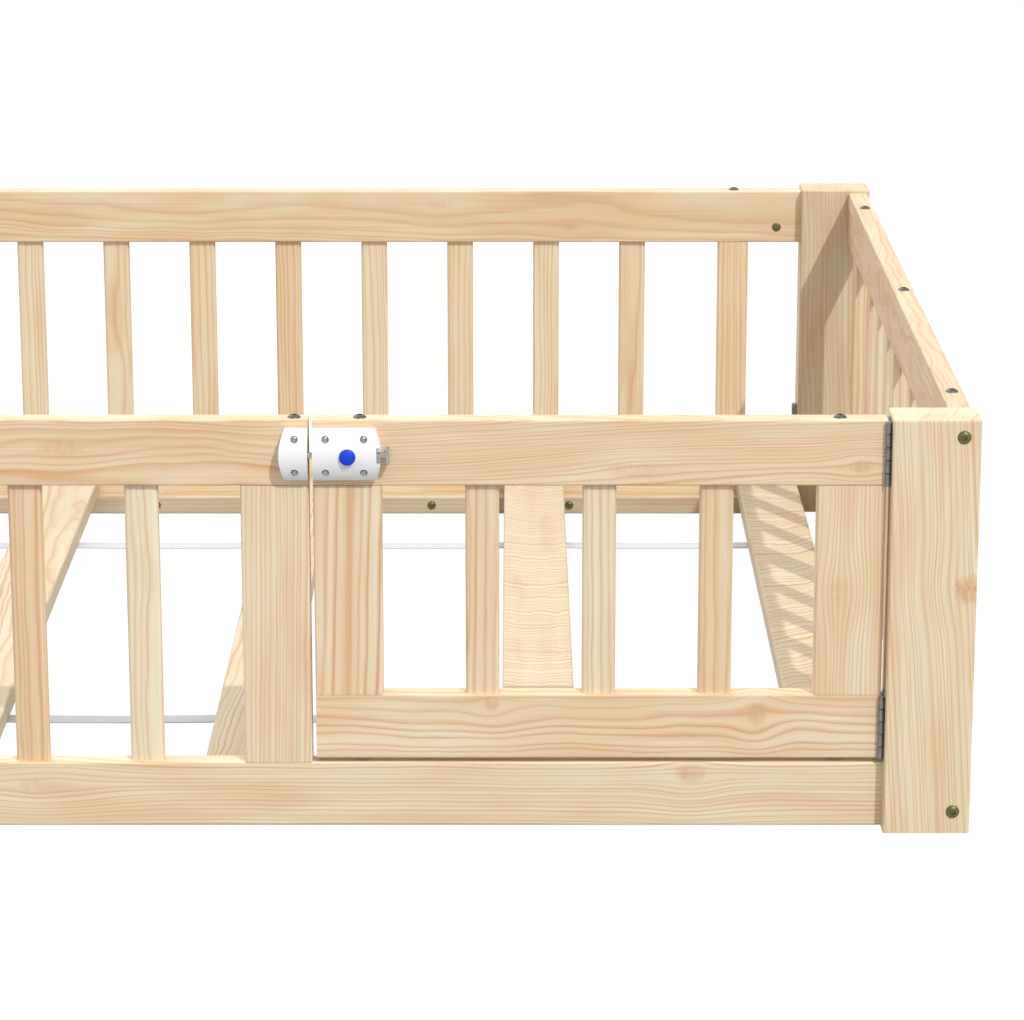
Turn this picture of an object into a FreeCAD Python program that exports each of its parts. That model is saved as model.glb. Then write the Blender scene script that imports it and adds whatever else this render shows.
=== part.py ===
"""Toddler floor bed in pine: four posts, railed and barred sides, a slatted deck and a hinged gate.

Frame: the origin is on the floor, at the centre of the bed's outline. +X runs along the bed to
the gate's end, +Y from the gate's side to the back, +Z up. All lengths are in millimetres.
"""

import FreeCAD, Part
import math
import os

Vector = FreeCAD.Vector

# ---- Bed and posts ----
bed_length = 2090.0
bed_width = 985.0
post_width = 67.5  # along the bed
post_depth = 40.0  # across the bed
post_height = 333.0
post_round = 2.0

# ---- Rails ----
rail_height = 52.0
rail_thickness = 18.0
rail_round = 1.6
rail_below_post_top = 3.0
floor_clearance = 2.5  # under the bottom rails
end_rail_inset = 3.0  # from the posts' outer faces

# ---- Narrow bars and wide uprights ----
bar_width = 26.0
bar_thickness = 10.0
bar_round = 3.0
mortise_depth = 9.0
mortise_side_clearance = 0.1
mortise_end_clearance = 0.3
wide_stile_width = 52.5
narrow_stile_width = 30.0
end_bar_pitch = 86.3
back_bars_each_side = 9
back_stile_from_post = 52.3  # clear space between a back post and the upright beside it
stile_to_bar_gap = 73.5
middle_stile_to_bar_gap = 77.0
front_bar_count = 15
gate_bar_count = 3
end_stile_from_front_post = 63.0  # to the first end upright's centre
end_stile_from_back_post = 80.0  # to the last end upright's centre
end_stile_count = 3
bars_between_end_stiles = 3

# ---- Gate and its butt hinges ----
gate_width = 438.9
hinge_side_gap = 3.1
latch_side_gap = 3.3
gate_floor_gap = 3.5  # over the bottom rail
hinge_length = 51.0
hinge_knuckles = 5
knuckle_gap = 0.3
knuckle_radius = 2.3
knuckle_chamfer = 0.5
pin_radius = 1.2
pin_clearance = 0.05
leaf_thickness = 1.1
leaf_depth = 16.0
leaf_screw_depth = 8.8  # from the knuckles to the screws
moving_clearance = 0.3
leaf_screws = 3

# ---- Bolts and barrel nuts ----
bolt_radius = 3.0
bolt_clearance = 0.3
thread_clearance = 0.1
shank_end_clearance = 0.5  # past a screw's point
bolt_head_radius = 5.3
bolt_head_height = 2.2
hex_socket_across_flats = 4.0
hex_socket_depth = 1.6
head_flat_share = 0.35  # a domed head's flat centre, as a share of its radius
head_shoulder_out = 0.86  # the dome's shoulder, as shares of the radius and the height
head_shoulder_up = 0.45
cross_arm_share = 0.55  # a cross recess, as shares of the head's radius and height
cross_blade_share = 0.13
cross_depth_share = 0.5
long_bolt_length = 100.0  # through a post's width
short_bolt_length = 70.0  # through a post's depth
nut_from_rail_end = 24.4
nut_radius = 4.4
nut_length = 14.0
nut_dome = 0.8
nut_end_clearance = 0.2
bolt_from_rail_top = 11.0
bolt_from_rail_bottom = 15.3
end_bolt_off_centre = 1.5  # towards the middle of the bed
stile_bolt_length = 95.0
counterbore_depth = 4.5
gate_bolt_from_end = 36.0
front_stile_bolt_from_edge = 10.8

# ---- Slatted deck ----
ledger_depth = 20.0
ledger_height = 18.0
ledger_floor_gap = 0.5
ledger_end_clearance = 2.0
ledger_middle_screw_from_centre = 46.0
ledger_screws_each_half = 7
ledger_first_screw_from_post = 91.5
ledger_screw_radius = 2.0
ledger_screw_length = 34.0
ledger_screw_head_radius = 4.3
ledger_screw_head_height = 2.2
slat_count = 9
slat_width = 60.0
slat_thickness = 18.0
slat_round = 2.0
slat_end_clearance = 2.0
end_slat_from_post = 31.0  # from a post's inner face to the end slat's centre
strap_width = 18.0
strap_thickness = 1.0
strap_from_centre = 265.0
strap_end_setback = 5.0
staple_crown = 12.0
staple_wire = 0.8
staple_leg = 7.0
staples_per_crossing = 2
staple_spacing = 30.0

# ---- Latch ----
keeper_width = 21.8
keeper_edge_setback = 0.2
housing_width = 52.3
housing_edge_setback = 0.3
latch_height = 40.0
latch_side_depth = 6.0  # height of the flat side walls off the rail
latch_bulge = 7.5  # rise of the curved front over the side walls
latch_bow = 4.4  # bulge of the outer ends
latch_wall = 2.0
latch_plate = 1.5
plate_clearance = 0.1
latch_screw_height = 13.0  # above and below the latch's centre
latch_screw_seat = 8.4  # off the rail's face
latch_screw_radius = 1.5
latch_screw_head_radius = 2.7
latch_screw_head_height = 1.7
latch_seat_clearance = 0.2
latch_screw_length = 14.0  # short of the upright's bolt behind it
latch_boss_radius = 3.7
keeper_screw_from_edge = 9.8
housing_first_screw = 10.0
housing_screw_spacing = 29.2
rod_radius = 2.4
rod_from_rail = 7.0
rod_clearance = 0.08
rod_travel = 12.0
rod_engagement = 8.6  # into the keeper at rest
rod_stop_radius = 3.9
rod_stop_width = 0.9
stop_ring_gap = 0.4  # at both ends of its travel
keeper_socket_clearance = 0.6
keeper_socket_spare = 2.0  # past the rod's end
pull_thickness = 2.3
pull_height = 12.0
pull_depth = 9.0
pull_round = 1.0
pull_notch_depth = 3.4
pull_notch_height = 14.0
notch_floor = 0.8
pull_standoff = 4.0  # from the housing's end to the pull plate
button_radius = 6.0
button_from_edge = 26.8
button_travel = 2.0
button_side_height = 15.4
button_dome = 1.6
collar_radius = 7.4
collar_height = 0.4
button_leg_width = 4.8
button_leg_inner = 2.8
button_leg_outer = 5.4
button_leg_end = 6.0
button_ear_outer = 7.6
button_ear_low = 8.6
button_ear_high = 10.0
spring_radius = 1.5
spring_wire = 0.25
spring_turns = 4
spring_end_gap = 0.1

# ---- Small steel stop on the back post beside the gate's end ----
stop_block_width = 5.2
stop_block_depth = 8.0
stop_block_height = 50.0
stop_block_top = 111.0
stop_block_screw_inset = 10.0  # from its ends
flat_screw_radius = 1.5
flat_screw_head_radius = 2.8
flat_screw_length = 15.0
flat_screw_clearance = 0.1

# ---- Places that follow from the sizes above ----
half_length = bed_length / 2
latch_reach = button_side_height + button_dome
rail_setback = (post_depth - rail_thickness) / 2
front_reach = max(bolt_head_height, latch_reach - rail_setback)
y_front = -(bed_width + front_reach + bolt_head_height) / 2 + front_reach
y_back = y_front + bed_width
x_post_inner = half_length - post_width
y_front_rail = y_front + rail_setback
y_back_rail = y_back - rail_setback - rail_thickness
y_front_post_inner = y_front + post_depth
y_back_post_inner = y_back - post_depth
y_middle = (y_front + y_back) / 2
z_rail_top = post_height - rail_below_post_top
z_top_rail = z_rail_top - rail_height
z_bottom_rail_top = floor_clearance + rail_height
z_gate = z_bottom_rail_top + gate_floor_gap
z_gate_rail_top = z_gate + rail_height
x_gate_right = x_post_inner - hinge_side_gap
x_gate_left = x_gate_right - gate_width
x_front_panel_right = x_gate_left - latch_side_gap
z_ledger_top = ledger_floor_gap + ledger_height
z_latch = z_top_rail + rail_height / 2
deck_half = x_post_inner - end_slat_from_post
slat_pitch = 2 * deck_half / (slat_count - 1)
slat_xs = [-deck_half + i * slat_pitch for i in range(slat_count)]

overcut = 1.0  # how far a cut runs past the face that it opens

parts = {}


# ---- Shapes that are used more than once ----
def box(x0, x1, y0, y1, z0, z1):
    """A block between two corners."""
    return Part.makeBox(x1 - x0, y1 - y0, z1 - z0, Vector(x0, y0, z0))


def edges_along(shape, axis):
    """The straight edges of a block that run along one axis."""
    index = "xyz".index(axis)
    found = []
    for edge in shape.Edges:
        direction = edge.Vertexes[0].Point.sub(edge.Vertexes[-1].Point)
        spans = [abs(direction.x), abs(direction.y), abs(direction.z)]
        if spans[index] > 0.5 * sum(spans):
            found.append(edge)
    return found


def board(axis, radius, *corners):
    """A block whose edges along its length are rounded."""
    block = box(*corners)
    return block.makeFillet(radius, edges_along(block, axis))


def cylinder(radius, length, start, direction):
    """A round bar from a point along a direction."""
    return Part.makeCylinder(radius, length, Vector(*start), Vector(*direction))


def placed(shape, point, direction):
    """A copy whose origin lies at the point and whose +Z runs along the direction."""
    turned = shape.copy()
    rotation = FreeCAD.Rotation(Vector(0, 0, 1), Vector(*direction))
    turned.Placement = FreeCAD.Placement(Vector(*point), rotation)
    return turned


def domed_head(radius, height):
    """A button head under the origin plane, with its flat seat at z = 0."""
    flat = radius * head_flat_share
    shoulder = Vector(radius * head_shoulder_out, 0, -height * head_shoulder_up)
    arc = Part.Arc(Vector(radius, 0, 0), shoulder, Vector(flat, 0, -height)).toShape()
    lines = [
        Part.makeLine(Vector(0, 0, 0), Vector(radius, 0, 0)),
        arc,
        Part.makeLine(Vector(flat, 0, -height), Vector(0, 0, -height)),
        Part.makeLine(Vector(0, 0, -height), Vector(0, 0, 0)),
    ]
    face = Part.Face(Part.Wire(lines))
    return face.revolve(Vector(0, 0, 0), Vector(0, 0, 1), 360)


def hex_bolt(length):
    """A button-head bolt with a hex socket; its shank runs along +Z from the seat."""
    head = domed_head(bolt_head_radius, bolt_head_height)
    corner = hex_socket_across_flats / math.sqrt(3)
    points = [
        Vector(corner * math.cos(math.radians(60 * i)), corner * math.sin(math.radians(60 * i)), 0)
        for i in range(7)
    ]
    socket = Part.Face(Part.makePolygon(points)).extrude(Vector(0, 0, hex_socket_depth + overcut))
    socket.translate(Vector(0, 0, -bolt_head_height - overcut))
    shank = Part.makeCylinder(bolt_radius, length)
    return head.fuse(shank).cut(socket)


def cross_screw(head_radius, head_height, shank_radius, length):
    """A domed screw with a cross recess; its shank runs along +Z from the seat."""
    head = domed_head(head_radius, head_height)
    arm = head_radius * cross_arm_share
    blade = head_radius * cross_blade_share
    deep = head_height * cross_depth_share
    low = -head_height - overcut
    one = box(-arm, arm, -blade, blade, low, -head_height + deep)
    other = box(-blade, blade, -arm, arm, low, -head_height + deep)
    shank = Part.makeCylinder(shank_radius, length)
    return head.fuse(shank).cut(one.fuse(other))


def flat_screw():
    """A countersunk screw; its head's flat top is at z = 0 and its shank runs along +Z."""
    depth = flat_screw_head_radius - flat_screw_radius
    cone = Part.makeCone(flat_screw_head_radius, flat_screw_radius, depth)
    shank = Part.makeCylinder(flat_screw_radius, flat_screw_length)
    return cone.fuse(shank)


def flat_screw_hole():
    """The countersunk hole of a flat screw, with its clearance."""
    wide = flat_screw_head_radius + flat_screw_clearance
    narrow = flat_screw_radius + flat_screw_clearance
    cone = Part.makeCone(wide, narrow, wide - narrow)
    shank = Part.makeCylinder(narrow, flat_screw_length + overcut)
    return cone.fuse(shank)


def barrel_nut(point, inward, crossing, bolt_direction):
    """A cross dowel whose domed end shows at a rail's face, bored where its bolt crosses it."""
    body = Part.makeCylinder(nut_radius, nut_length).fuse(domed_head(nut_radius, nut_dome))
    nut = placed(body, point, inward)
    reach = Vector(*bolt_direction).multiply(2 * nut_radius)
    bore = Part.makeCylinder(
        bolt_radius + thread_clearance,
        4 * nut_radius,
        crossing.sub(reach),
        Vector(*bolt_direction),
    )
    return nut.cut(bore)


def nut_hole(point, inward):
    """The blind hole of a barrel nut."""
    return cylinder(
        nut_radius + thread_clearance, nut_length + nut_end_clearance, point, inward
    )


# ---- Posts, and the bolts that hold the rails to them ----
post_cutters = {}
rail_cutters = {}
bolts = []
nuts = []


def join_rail(post, rail, post_face, direction, bolt_length, face_to_rail_end, nut_face, nut_inward):
    """Bolt a rail's end to a post: bolt, barrel nut and the holes for both."""
    start = Vector(*post_face)
    along = Vector(*direction)
    bolts.append(placed(hex_bolt(bolt_length), post_face, direction))
    clear = bolt_radius + bolt_clearance
    post_cutters.setdefault(post, []).append(
        Part.makeCylinder(clear, face_to_rail_end + 2 * overcut, start - along * overcut, along)
    )
    shank_hole = Part.makeCylinder(
        clear,
        bolt_length - face_to_rail_end + 3 * overcut,
        start + along * (face_to_rail_end - overcut),
        along,
    )
    crossing = start + along * (face_to_rail_end + nut_from_rail_end)
    if abs(nut_inward[0]) > 0:
        nut_place = (nut_face, crossing.y, crossing.z)
    else:
        nut_place = (crossing.x, nut_face, crossing.z)
    nuts.append(barrel_nut(nut_place, nut_inward, crossing, direction))
    rail_cutters.setdefault(rail, []).extend([shank_hole, nut_hole(nut_place, nut_inward)])


def post_name(side, end):
    """The name of the post at a side (front or back) and an end (left or right)."""
    return f"{side}_{end}_post"


for end, sx in (("left", -1), ("right", 1)):
    x_outer = sx * half_length
    x_end_bolt = sx * (half_length - end_rail_inset - rail_thickness / 2 - end_bolt_off_centre)
    for side, sy in (("front", 1), ("back", -1)):
        name = post_name(side, end)
        y_outer = y_front if side == "front" else y_back
        y_rail_centre = y_outer + sy * post_depth / 2
        for level, z_rail in (("top", z_top_rail), ("bottom", floor_clearance)):
            z_high = z_rail + rail_height - bolt_from_rail_top
            z_low = z_rail + bolt_from_rail_bottom
            z_end_bolt = z_high if level == "top" else z_low
            z_side_bolt = z_low if level == "top" else z_high
            join_rail(
                name,
                f"{end}_{level}_rail",
                (x_end_bolt, y_outer, z_end_bolt),
                (0, sy, 0),
                short_bolt_length,
                post_depth,
                sx * (half_length - end_rail_inset),
                (-sx, 0, 0),
            )
            # The gate hangs where this corner's front top rail would end.
            if (side, end, level) == ("front", "right", "top"):
                continue
            inner_face = y_outer + sy * (rail_setback + rail_thickness)
            join_rail(
                name,
                f"{side}_{level}_rail",
                (x_outer, y_rail_centre, z_side_bolt),
                (-sx, 0, 0),
                long_bolt_length,
                post_width,
                inner_face,
                (0, -sy, 0),
            )


def post(x_outer, sx, y_outer, sy):
    """One post, rounded on every edge but those at the floor."""
    x0, x1 = sorted((x_outer, x_outer - sx * post_width))
    y0, y1 = sorted((y_outer, y_outer + sy * post_depth))
    block = box(x0, x1, y0, y1, 0, post_height)
    upper = [e for e in block.Edges if e.BoundBox.ZMax > post_height / 2]
    return block.makeFillet(post_round, upper)


for end, sx in (("left", -1), ("right", 1)):
    for side, sy in (("front", 1), ("back", -1)):
        y_outer = y_front if side == "front" else y_back
        parts[post_name(side, end)] = post(sx * half_length, sx, y_outer, sy)


# ---- Rails: a rail runs along x or y, between two ends, at a side and a height ----
def rail_along_x(x0, x1, y0, z0):
    """A rail with its long edges rounded."""
    return board("x", rail_round, x0, x1, y0, y0 + rail_thickness, z0, z0 + rail_height)


def rail_along_y(x0, y0, y1, z0):
    """An end rail with its long edges rounded."""
    return board("y", rail_round, x0, x0 + rail_thickness, y0, y1, z0, z0 + rail_height)


parts["front_top_rail"] = rail_along_x(-x_post_inner, x_front_panel_right, y_front_rail, z_top_rail)
parts["front_bottom_rail"] = rail_along_x(-x_post_inner, x_post_inner, y_front_rail, floor_clearance)
parts["back_top_rail"] = rail_along_x(-x_post_inner, x_post_inner, y_back_rail, z_top_rail)
parts["back_bottom_rail"] = rail_along_x(-x_post_inner, x_post_inner, y_back_rail, floor_clearance)
parts["gate_top_rail"] = rail_along_x(x_gate_left, x_gate_right, y_front_rail, z_top_rail)
parts["gate_bottom_rail"] = rail_along_x(x_gate_left, x_gate_right, y_front_rail, z_gate)
for end, sx in (("left", -1), ("right", 1)):
    x_rail = min(sx * (half_length - end_rail_inset), sx * (half_length - end_rail_inset - rail_thickness))
    for level, z_rail in (("top", z_top_rail), ("bottom", floor_clearance)):
        parts[f"{end}_{level}_rail"] = rail_along_y(
            x_rail, y_front_post_inner, y_back_post_inner, z_rail
        )


# ---- Narrow bars, let into mortises in the rails over and under them ----
def upright_section(along, centre, across, width, thickness, z0, z1, radius):
    """An upright whose width runs along x or y, rounded on its standing edges."""
    lengthways = (centre - width / 2, centre + width / 2)
    through = (across - thickness / 2, across + thickness / 2)
    if along == "x":
        corners = (*lengthways, *through, z0, z1)
    else:
        corners = (*through, *lengthways, z0, z1)
    return board("z", radius, *corners)


def bars(along, centres, across, z0, z1, lower_rail, upper_rail):
    """A row of bars, with their mortises added to the two rails' cuts."""
    row = []
    reach = mortise_depth - mortise_end_clearance
    wide = bar_width + 2 * mortise_side_clearance
    thick = bar_thickness + 2 * mortise_side_clearance
    pocket_round = bar_round + mortise_side_clearance
    for centre in centres:
        row.append(
            upright_section(
                along, centre, across, bar_width, bar_thickness, z0 - reach, z1 + reach, bar_round
            )
        )
        for rail, low, high in (
            (lower_rail, z0 - mortise_depth, z0 + overcut),
            (upper_rail, z1 - overcut, z1 + mortise_depth),
        ):
            pocket = upright_section(along, centre, across, wide, thick, low, high, pocket_round)
            rail_cutters.setdefault(rail, []).append(pocket)
    return row


def spread(first_edge, last_edge, count):
    """Centres of equal bars with equal gaps between two uprights' facing edges."""
    gap = (last_edge - first_edge - count * bar_width) / (count + 1)
    return [first_edge + (gap + bar_width) * (i + 1) - bar_width / 2 for i in range(count)]


y_front_centre = y_front_rail + rail_thickness / 2
y_back_centre = y_back_rail + rail_thickness / 2
fixed_stile_right = x_front_panel_right - wide_stile_width
fixed_stile_left = -x_post_inner + wide_stile_width
parts["front_bars"] = bars(
    "x",
    spread(fixed_stile_left, fixed_stile_right, front_bar_count),
    y_front_centre,
    z_bottom_rail_top,
    z_top_rail,
    "front_bottom_rail",
    "front_top_rail",
)
parts["gate_bars"] = bars(
    "x",
    spread(x_gate_left + wide_stile_width, x_gate_right - wide_stile_width, gate_bar_count),
    y_front_centre,
    z_gate_rail_top,
    z_top_rail,
    "gate_bottom_rail",
    "gate_top_rail",
)

back_stile_centre = x_post_inner - back_stile_from_post - narrow_stile_width / 2
first_back_bar = back_stile_centre - narrow_stile_width / 2 - stile_to_bar_gap - bar_width / 2
last_back_bar = wide_stile_width / 2 + middle_stile_to_bar_gap + bar_width / 2
back_bar_pitch = (first_back_bar - last_back_bar) / (back_bars_each_side - 1)
back_bar_centres = [first_back_bar - i * back_bar_pitch for i in range(back_bars_each_side)]
back_bar_centres += [-x for x in back_bar_centres]
parts["back_bars"] = bars(
    "x",
    sorted(back_bar_centres),
    y_back_centre,
    z_bottom_rail_top,
    z_top_rail,
    "back_bottom_rail",
    "back_top_rail",
)

first_end_stile = y_front_post_inner + end_stile_from_front_post
last_end_stile = y_back_post_inner - end_stile_from_back_post
end_stile_pitch = (last_end_stile - first_end_stile) / (end_stile_count - 1)
end_stile_ys = [first_end_stile + i * end_stile_pitch for i in range(end_stile_count)]
end_bar_ys = []
for low_stile in end_stile_ys[:-1]:
    centre = low_stile + end_stile_pitch / 2
    middle_bar = (bars_between_end_stiles - 1) / 2
    end_bar_ys += [
        centre + (i - middle_bar) * end_bar_pitch for i in range(bars_between_end_stiles)
    ]


# ---- Wide uprights, as thick as the rails and bolted through them ----
stile_bolts = []
gate_stile_bolts = []


def stile(along, centre, across, width, z0, z1, rails, bolt_at, bolt_list):
    """An upright flush with the rails, bolted down through the upper and up through the lower."""
    lower_rail, upper_rail = rails
    shape = upright_section(along, centre, across, width, rail_thickness, z0, z1, rail_round)
    where = (bolt_at, across) if along == "x" else (across, bolt_at)
    bolt = hex_bolt(stile_bolt_length)
    z_seat = z0 - rail_height + counterbore_depth
    top_point = (*where, z1 + rail_height)
    low_point = (*where, z_seat)
    bolt_list.append(placed(bolt, top_point, (0, 0, -1)))
    bolt_list.append(placed(bolt, low_point, (0, 0, 1)))
    clear = bolt_radius + thread_clearance
    top_hole = cylinder(clear, stile_bolt_length + overcut, top_point, (0, 0, -1))
    low_hole = cylinder(clear, stile_bolt_length + overcut, low_point, (0, 0, 1))
    sink = cylinder(
        bolt_head_radius + bolt_clearance,
        counterbore_depth + overcut,
        (*where, z_seat - counterbore_depth - overcut),
        (0, 0, 1),
    )
    rail_cutters.setdefault(upper_rail, []).append(top_hole)
    rail_cutters.setdefault(lower_rail, []).extend([low_hole, sink])
    return shape.cut([top_hole, low_hole])


def full_stile(along, centre, across, width, side, bolt_at):
    """An upright between a side's bottom and top rails."""
    rails = (f"{side}_bottom_rail", f"{side}_top_rail")
    return stile(
        along, centre, across, width, z_bottom_rail_top, z_top_rail, rails, bolt_at, stile_bolts
    )


parts["front_gate_side_stile"] = full_stile(
    "x",
    x_front_panel_right - wide_stile_width / 2,
    y_front_centre,
    wide_stile_width,
    "front",
    x_front_panel_right - front_stile_bolt_from_edge,
)
parts["front_left_stile"] = full_stile(
    "x",
    -x_post_inner + wide_stile_width / 2,
    y_front_centre,
    wide_stile_width,
    "front",
    -x_post_inner + wide_stile_width - front_stile_bolt_from_edge,
)
for name, x, width in (
    ("back_left_stile", -back_stile_centre, narrow_stile_width),
    ("back_middle_stile", 0.0, wide_stile_width),
    ("back_right_stile", back_stile_centre, narrow_stile_width),
):
    parts[name] = full_stile("x", x, y_back_centre, width, "back", x)
for name, x, x_bolt in (
    ("gate_latch_stile", x_gate_left + wide_stile_width / 2, x_gate_left + gate_bolt_from_end),
    ("gate_hinge_stile", x_gate_right - wide_stile_width / 2, x_gate_right - gate_bolt_from_end),
):
    parts[name] = stile(
        "x",
        x,
        y_front_centre,
        wide_stile_width,
        z_gate_rail_top,
        z_top_rail,
        ("gate_bottom_rail", "gate_top_rail"),
        x_bolt,
        gate_stile_bolts,
    )
for end, sx in (("left", -1), ("right", 1)):
    x_centre = sx * (half_length - end_rail_inset - rail_thickness / 2)
    uprights = bars(
        "y",
        end_bar_ys,
        x_centre,
        z_bottom_rail_top,
        z_top_rail,
        f"{end}_bottom_rail",
        f"{end}_top_rail",
    )
    for y in end_stile_ys:
        uprights.append(full_stile("y", y, x_centre, narrow_stile_width, end, y))
    parts[f"{end}_end_uprights"] = uprights
parts["stile_bolts"] = stile_bolts
parts["gate_stile_bolts"] = gate_stile_bolts
parts["post_bolts"] = bolts
parts["barrel_nuts"] = nuts


# ---- Ledgers, screwed to the insides of the long bottom rails ----
ledger_x = x_post_inner - ledger_end_clearance
first_ledger_screw = x_post_inner - ledger_first_screw_from_post
ledger_screw_span = first_ledger_screw - ledger_middle_screw_from_centre
ledger_screw_pitch = ledger_screw_span / (ledger_screws_each_half - 1)
screw_x_from_middle = [
    first_ledger_screw - i * ledger_screw_pitch for i in range(ledger_screws_each_half)
]
ledger_screw_xs = screw_x_from_middle + [-x for x in screw_x_from_middle]
z_ledger_screw = ledger_floor_gap + ledger_height / 2
y_front_ledger_inner = y_front_rail + rail_thickness + ledger_depth
y_back_ledger_inner = y_back_rail - ledger_depth
ledger_screws = []
for name, rail, y0, y_screw, into_rail in (
    ("front_ledger", "front_bottom_rail", y_front_rail + rail_thickness, y_front_ledger_inner, -1),
    ("back_ledger", "back_bottom_rail", y_back_ledger_inner, y_back_ledger_inner, 1),
):
    strip = board(
        "x", rail_round, -ledger_x, ledger_x, y0, y0 + ledger_depth, ledger_floor_gap, z_ledger_top
    )
    holes = []
    screw = cross_screw(
        ledger_screw_head_radius, ledger_screw_head_height, ledger_screw_radius, ledger_screw_length
    )
    for x in ledger_screw_xs:
        point = (x, y_screw, z_ledger_screw)
        ledger_screws.append(placed(screw, point, (0, into_rail, 0)))
        holes.append(
            cylinder(
                ledger_screw_radius + thread_clearance,
                ledger_screw_length + shank_end_clearance,
                point,
                (0, into_rail, 0),
            )
        )
    parts[name] = strip.cut(holes)
    rail_cutters[rail].extend(holes)
parts["ledger_screws"] = ledger_screws


# ---- Slats on the ledgers, held apart by two straps that are stapled under them ----
y_slat_front = y_front_rail + rail_thickness + slat_end_clearance
y_slat_back = y_back_rail - slat_end_clearance
strap_ys = {
    "front_strap": y_middle - strap_from_centre,
    "back_strap": y_middle + strap_from_centre,
}
z_strap = z_ledger_top - strap_thickness
staple_xs = [
    x + (i - (staples_per_crossing - 1) / 2) * staple_spacing
    for x in slat_xs
    for i in range(staples_per_crossing)
]


def staple(x, y):
    """One staple: a flat crown under the strap and two legs up into the slat."""
    half = staple_wire / 2
    crown = box(
        x - half, x + half, y - staple_crown / 2, y + staple_crown / 2, z_strap - staple_wire, z_strap
    )
    legs = staple_legs(x, y, z_strap - staple_wire)
    return crown.multiFuse(legs).removeSplitter()


def staple_legs(x, y, z0):
    """The two legs of a staple, from a height up into the slat."""
    half = staple_wire / 2
    top = z_ledger_top + staple_leg
    outer = staple_crown / 2
    return [
        box(x - half, x + half, y - outer, y - outer + staple_wire, z0, top),
        box(x - half, x + half, y + outer - staple_wire, y + outer, z0, top),
    ]


staples = [staple(x, y) for y in strap_ys.values() for x in staple_xs]
for index, x in enumerate(slat_xs, start=1):
    slat = board(
        "y",
        slat_round,
        x - slat_width / 2,
        x + slat_width / 2,
        y_slat_front,
        y_slat_back,
        z_ledger_top,
        z_ledger_top + slat_thickness,
    )
    own_xs = [staple_x for staple_x in staple_xs if abs(staple_x - x) < slat_width / 2]
    legs = []
    for y in strap_ys.values():
        for staple_x in own_xs:
            legs += staple_legs(staple_x, y, z_strap)
    parts[f"slat_{index}"] = slat.cut(legs)
for name, y in strap_ys.items():
    half = deck_half + slat_width / 2 - strap_end_setback
    strap = box(-half, half, y - strap_width / 2, y + strap_width / 2, z_strap, z_ledger_top)
    legs = [leg for x in staple_xs for leg in staple_legs(x, y, z_strap - overcut)]
    parts[name] = strap.cut(legs)
parts["strap_staples"] = staples


# ---- Butt hinges between the gate's end and the post ----
x_hinge = x_post_inner - moving_clearance - knuckle_radius
y_hinge = y_front_rail - moving_clearance - knuckle_radius
hinge_centres = (z_top_rail + rail_height / 2, z_gate + rail_height / 2)
knuckle_length = (hinge_length - (hinge_knuckles - 1) * knuckle_gap) / hinge_knuckles
post_hinge_screws = []
gate_hinge_screws = []


def knuckle_spans(z_low, first):
    """Heights of every second knuckle, starting with the first or the second."""
    step = knuckle_length + knuckle_gap
    starts = [z_low + i * step for i in range(first, hinge_knuckles, 2)]
    return [(z, z + knuckle_length) for z in starts]


def knuckle(z0, z1):
    """A rolled knuckle with chamfered ends."""
    barrel = cylinder(knuckle_radius, z1 - z0, (x_hinge, y_hinge, z0), (0, 0, 1))
    rims = [edge for edge in barrel.Edges if edge.isClosed()]
    return barrel.makeChamfer(knuckle_chamfer, rims)


def hinge_leaf(x_face, toward_gate, z_low, first, other_first, screw_list, holed_part):
    """One leaf with its knuckles, lying on the face at x_face, and its countersunk screws."""
    x_free = x_face - leaf_thickness if toward_gate else x_face + leaf_thickness
    x0, x1 = sorted((x_face, x_free))
    z_high = z_low + hinge_length
    leaf = box(x0, x1, y_hinge, y_hinge + leaf_depth + knuckle_radius, z_low, z_high)
    sweep = knuckle_radius + moving_clearance
    notches = []
    for z0, z1 in knuckle_spans(z_low, other_first):
        notches.append(
            cylinder(sweep, z1 - z0 + 2 * knuckle_gap, (x_hinge, y_hinge, z0 - knuckle_gap), (0, 0, 1))
        )
    leaf = leaf.cut(notches)
    barrels = [knuckle(z0, z1) for z0, z1 in knuckle_spans(z_low, first)]
    leaf = leaf.multiFuse(barrels)
    bore = cylinder(
        pin_radius + pin_clearance,
        hinge_length + 2 * overcut,
        (x_hinge, y_hinge, z_low - overcut),
        (0, 0, 1),
    )
    leaf = leaf.cut(bore)
    into = (1, 0, 0) if toward_gate else (-1, 0, 0)
    holes = []
    y_screw = y_hinge + knuckle_radius + leaf_screw_depth
    for i in range(leaf_screws):
        z = z_low + hinge_length * (i + 0.5) / leaf_screws
        point = (x_free, y_screw, z)
        screw_list.append(placed(flat_screw(), point, into))
        holes.append(placed(flat_screw_hole(), point, into))
    for part in holed_part:
        rail_cutters.setdefault(part, []).extend(holes)
    return leaf.cut(holes)


post_leaves = []
gate_leaves = []
pins = []
for z_centre, gate_rail in zip(hinge_centres, ("gate_top_rail", "gate_bottom_rail")):
    z_low = z_centre - hinge_length / 2
    post_leaves.append(
        hinge_leaf(x_post_inner, True, z_low, 0, 1, post_hinge_screws, ["front_right_post"])
    )
    gate_leaves.append(hinge_leaf(x_gate_right, False, z_low, 1, 0, gate_hinge_screws, [gate_rail]))
    pins.append(cylinder(pin_radius, hinge_length, (x_hinge, y_hinge, z_low), (0, 0, 1)))
parts["hinge_post_leaves"] = post_leaves
parts["hinge_gate_leaves"] = gate_leaves
parts["hinge_pins"] = pins


# ---- Latch: keeper on the fixed rail, housing on the gate, rod, pull, button and springs ----
def y_off_rail(distance):
    """The y of a point that stands a distance in front of the rails' face."""
    return y_front_rail - distance


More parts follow.
